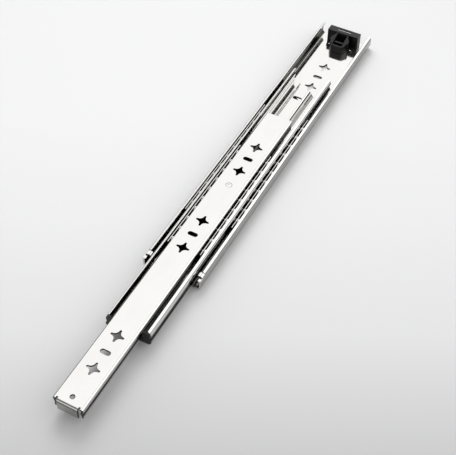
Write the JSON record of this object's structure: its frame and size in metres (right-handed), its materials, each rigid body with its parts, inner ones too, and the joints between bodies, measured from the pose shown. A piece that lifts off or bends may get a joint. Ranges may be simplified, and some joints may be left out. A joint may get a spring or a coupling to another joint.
{
  "type": "cabinet drawer slide",
  "caption": "Full-extension ball-bearing drawer slide: nested zinc-plated steel channels on ball cages, with star and slot screw holes and black plastic bumpers.",
  "frame": {"origin": "centre of the bottom of the whole slide in its stored, partly pulled out pose; the bottom is the face that lies on the cabinet side", "axes": "X across the slide, Y along it with the drawer pulling out towards -Y, Z from the cabinet face to the drawer face"},
  "size_m": [0.053, 0.4874, 0.019],
  "materials": {
    "zinc_steel": "bright zinc plate",
    "cage_steel": "plain strip steel",
    "ball_steel": "polished",
    "black_plastic": "fine matte"
  },
  "bodies": {
    "cabinet": {"cabinet_member": "zinc_steel", "rear_bumper": "black_plastic", "bumper_stud_left": "zinc_steel", "bumper_stud_right": "zinc_steel"},
    "intermediate": {"intermediate_member": "zinc_steel", "front_bumper": "black_plastic"},
    "drawer": {"drawer_member": "zinc_steel", "drawer_stop_rivet": "zinc_steel"},
    "outer_cage": {"outer_ball_cage": "cage_steel", "outer_ball_left_01": "ball_steel", "outer_ball_left_02": "ball_steel", "outer_ball_left_03": "ball_steel", "outer_ball_left_04": "ball_steel", "outer_ball_left_05": "ball_steel", "outer_ball_left_06": "ball_steel", "outer_ball_left_07": "ball_steel", "outer_ball_left_08": "ball_steel", "outer_ball_left_09": "ball_steel", "outer_ball_left_10": "ball_steel", "outer_ball_left_11": "ball_steel", "outer_ball_right_01": "ball_steel", "outer_ball_right_02": "ball_steel", "outer_ball_right_03": "ball_steel", "outer_ball_right_04": "ball_steel", "outer_ball_right_05": "ball_steel", "outer_ball_right_06": "ball_steel", "outer_ball_right_07": "ball_steel", "outer_ball_right_08": "ball_steel", "outer_ball_right_09": "ball_steel", "outer_ball_right_10": "ball_steel", "outer_ball_right_11": "ball_steel"},
    "inner_cage": {"inner_ball_cage": "cage_steel", "inner_ball_left_01": "ball_steel", "inner_ball_left_02": "ball_steel", "inner_ball_left_03": "ball_steel", "inner_ball_left_04": "ball_steel", "inner_ball_left_05": "ball_steel", "inner_ball_left_06": "ball_steel", "inner_ball_left_07": "ball_steel", "inner_ball_left_08": "ball_steel", "inner_ball_left_09": "ball_steel", "inner_ball_left_10": "ball_steel", "inner_ball_right_01": "ball_steel", "inner_ball_right_02": "ball_steel", "inner_ball_right_03": "ball_steel", "inner_ball_right_04": "ball_steel", "inner_ball_right_05": "ball_steel", "inner_ball_right_06": "ball_steel", "inner_ball_right_07": "ball_steel", "inner_ball_right_08": "ball_steel", "inner_ball_right_09": "ball_steel", "inner_ball_right_10": "ball_steel"}
  },
  "joints": [
    {"name": "intermediate_slide", "type": "slide", "parent": "cabinet", "child": "intermediate", "axis": [0, -1, 0], "range_m": [-0.0706, 0.1012]},
    {"name": "drawer_slide", "type": "slide", "parent": "intermediate", "child": "drawer", "axis": [0, -1, 0], "range_m": [-0.0706, 0.1012]},
    {"name": "outer_cage_slide", "type": "slide", "parent": "cabinet", "child": "outer_cage", "axis": [0, -1, 0], "range_m": [-0.0354, 0.0507]},
    {"name": "inner_cage_slide", "type": "slide", "parent": "intermediate", "child": "inner_cage", "axis": [0, -1, 0], "range_m": [-0.0354, 0.0507]}
  ],
  "couplings": [
    {"joint": "outer_cage_slide", "follows": "intermediate_slide", "ratio": 0.5},
    {"joint": "inner_cage_slide", "follows": "drawer_slide", "ratio": 0.5}
  ]
}
